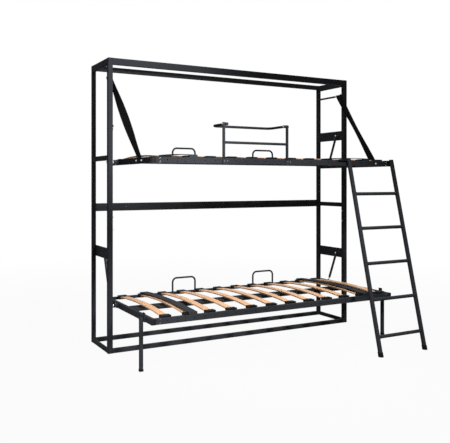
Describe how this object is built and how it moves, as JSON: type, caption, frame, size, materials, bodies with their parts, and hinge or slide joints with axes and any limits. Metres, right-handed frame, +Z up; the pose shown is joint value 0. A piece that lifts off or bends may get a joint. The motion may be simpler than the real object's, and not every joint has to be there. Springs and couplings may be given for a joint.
{
  "type": "fold down wall bed mechanism",
  "caption": "Two-level fold down wall bed mechanism: steel tube frame, sprung-slat beds on pivots with gas struts, webbing straps, folding legs, guard rail and hook-on ladder.",
  "frame": {"origin": "on the floor at mid width, under the centre line of the bottom rear rail", "axes": "+X to the right seen from the room, +Y towards the wall, +Z up; beds down at rest"},
  "size_m": [2.15, 1.4079, 2.1],
  "materials": {
    "black_coat": "satin black powder coat",
    "black_plastic": "moulded, fine grain",
    "black_strut": "semi-gloss black",
    "zinc_steel": "bright zinc plate",
    "beech": "bent laminated beech, clear coat",
    "webbing": "woven polyester webbing"
  },
  "bodies": {
    "frame": {"front_uprights": "black_coat", "rear_uprights": "black_coat", "top_front_rail": "black_coat", "top_rear_rail": "black_coat", "mid_rear_rail": "black_coat", "bottom_front_rail": "black_coat", "bottom_rear_rail": "black_coat", "top_end_rails": "black_coat", "end_bars": "black_coat", "bottom_end_rails": "black_coat", "strut_plates": "black_coat", "strap_bars": "black_coat", "strap_collars": "zinc_steel", "pivot_bolts": "zinc_steel", "strut_studs": "zinc_steel", "latch_studs": "zinc_steel", "left_strap": "webbing", "right_strap": "webbing"},
    "upper_bed": {"upper_front_rail": "black_coat", "upper_rear_rail": "black_coat", "upper_end_rails": "black_coat", "upper_corner_blocks": "black_plastic", "upper_centre_beam": "black_coat", "upper_slats": "beech", "upper_slat_holders": "black_plastic", "upper_cross_bars": "black_coat", "upper_mattress_hoops": "black_coat", "upper_pivot_plates": "black_coat", "upper_pivot_bushes": "black_plastic", "guard_posts": "black_coat", "guard_mid_rail": "black_coat", "guard_brackets": "black_coat", "guard_pins": "zinc_steel", "strap_clamps": "black_coat", "upper_bolts": "zinc_steel"},
    "lower_bed": {"lower_front_rail": "black_coat", "lower_rear_rail": "black_coat", "lower_end_rails": "black_coat", "lower_corner_blocks": "black_plastic", "lower_centre_beam": "black_coat", "lower_slats": "beech", "lower_slat_holders": "black_plastic", "lower_cross_bars": "black_coat", "lower_mattress_hoops": "black_coat", "lower_pivot_plates": "black_coat", "lower_pivot_bushes": "black_plastic", "leg_brackets": "black_coat"},
    "left_leg": {"left_leg": "black_coat"},
    "right_leg": {"right_leg": "black_coat"},
    "upper_left_strut_tube": {"upper_left_strut_tube": "black_strut"},
    "upper_left_strut_rod": {"upper_left_strut_rod": "zinc_steel"},
    "upper_right_strut_tube": {"upper_right_strut_tube": "black_strut"},
    "upper_right_strut_rod": {"upper_right_strut_rod": "zinc_steel"},
    "lower_left_strut_tube": {"lower_left_strut_tube": "black_strut"},
    "lower_left_strut_rod": {"lower_left_strut_rod": "zinc_steel"},
    "lower_right_strut_tube": {"lower_right_strut_tube": "black_strut"},
    "lower_right_strut_rod": {"lower_right_strut_rod": "zinc_steel"},
    "guard_hoop": {"guard_hoop": "black_coat"},
    "ladder": {"ladder_side": "black_coat", "ladder_rungs": "black_coat"}
  },
  "joints": [
    {"name": "lower_fold", "type": "hinge", "parent": "frame", "child": "lower_bed", "pos_m": [0, -0.37, 0.335], "axis": [-1, 0, 0], "range_deg": [0, 90]},
    {"name": "upper_fold", "type": "hinge", "parent": "frame", "child": "upper_bed", "pos_m": [0, -0.37, 1.358], "axis": [-1, 0, 0], "range_deg": [0, 90], "deforming": ["left_strap", "right_strap"]},
    {"name": "left_leg_swing", "type": "hinge", "parent": "lower_bed", "child": "left_leg", "pos_m": [-1.023, -0.885, 0.335], "axis": [1, 0, 0], "range_deg": [0, 90]},
    {"name": "right_leg_swing", "type": "hinge", "parent": "lower_bed", "child": "right_leg", "pos_m": [1.023, -0.885, 0.335], "axis": [1, 0, 0], "range_deg": [0, 90]},
    {"name": "upper_left_strut_swing", "type": "hinge", "parent": "frame", "child": "upper_left_strut_tube", "pos_m": [-1.0205, -0.31, 1.623], "axis": [-1, 0, 0], "range_deg": [0, 30.19]},
    {"name": "upper_left_strut_slide", "type": "slide", "parent": "upper_left_strut_tube", "child": "upper_left_strut_rod", "axis": [0, 0.3896, -0.921], "range_m": [0, 0.1567]},
    {"name": "upper_right_strut_swing", "type": "hinge", "parent": "frame", "child": "upper_right_strut_tube", "pos_m": [1.0205, -0.31, 1.623], "axis": [-1, 0, 0], "range_deg": [0, 30.19]},
    {"name": "upper_right_strut_slide", "type": "slide", "parent": "upper_right_strut_tube", "child": "upper_right_strut_rod", "axis": [0, 0.3896, -0.921], "range_m": [0, 0.1567]},
    {"name": "lower_left_strut_swing", "type": "hinge", "parent": "frame", "child": "lower_left_strut_tube", "pos_m": [-1.0205, -0.131, 0.7], "axis": [-1, 0, 0], "range_deg": [0, 5.04]},
    {"name": "lower_left_strut_slide", "type": "slide", "parent": "lower_left_strut_tube", "child": "lower_left_strut_rod", "axis": [0, -0.3758, -0.9267], "range_m": [0, 0.1263]},
    {"name": "lower_right_strut_swing", "type": "hinge", "parent": "frame", "child": "lower_right_strut_tube", "pos_m": [1.0205, -0.31, 0.6], "axis": [-1, 0, 0], "range_deg": [0, 30.19]},
    {"name": "lower_right_strut_slide", "type": "slide", "parent": "lower_right_strut_tube", "child": "lower_right_strut_rod", "axis": [0, 0.3896, -0.921], "range_m": [0, 0.1567]},
    {"name": "guard_hoop_turn", "type": "hinge", "parent": "upper_bed", "child": "guard_hoop", "pos_m": [-0.232, -1.012, 1.606], "axis": [1, 0, 0], "range_deg": [0, 90]},
    {"name": "ladder_lift", "type": "slide", "parent": "upper_bed", "child": "ladder", "axis": [0, 0, 1], "range_m": [0, 0.05]}
  ],
  "couplings": [
    {"joint": "left_leg_swing", "follows": "lower_fold", "ratio": 1},
    {"joint": "right_leg_swing", "follows": "lower_fold", "ratio": 1},
    {"joint": "upper_left_strut_swing", "follows": "upper_fold", "ratio": 0.33487},
    {"joint": "upper_left_strut_slide", "follows": "upper_fold", "m_per_rad": 0.099409},
    {"joint": "upper_right_strut_swing", "follows": "upper_fold", "ratio": 0.33487},
    {"joint": "upper_right_strut_slide", "follows": "upper_fold", "m_per_rad": 0.099409},
    {"joint": "lower_left_strut_swing", "follows": "lower_fold", "ratio": 0.055422},
    {"joint": "lower_left_strut_slide", "follows": "lower_fold", "m_per_rad": 0.08011},
    {"joint": "lower_right_strut_swing", "follows": "lower_fold", "ratio": 0.33487},
    {"joint": "lower_right_strut_slide", "follows": "lower_fold", "m_per_rad": 0.099409}
  ]
}
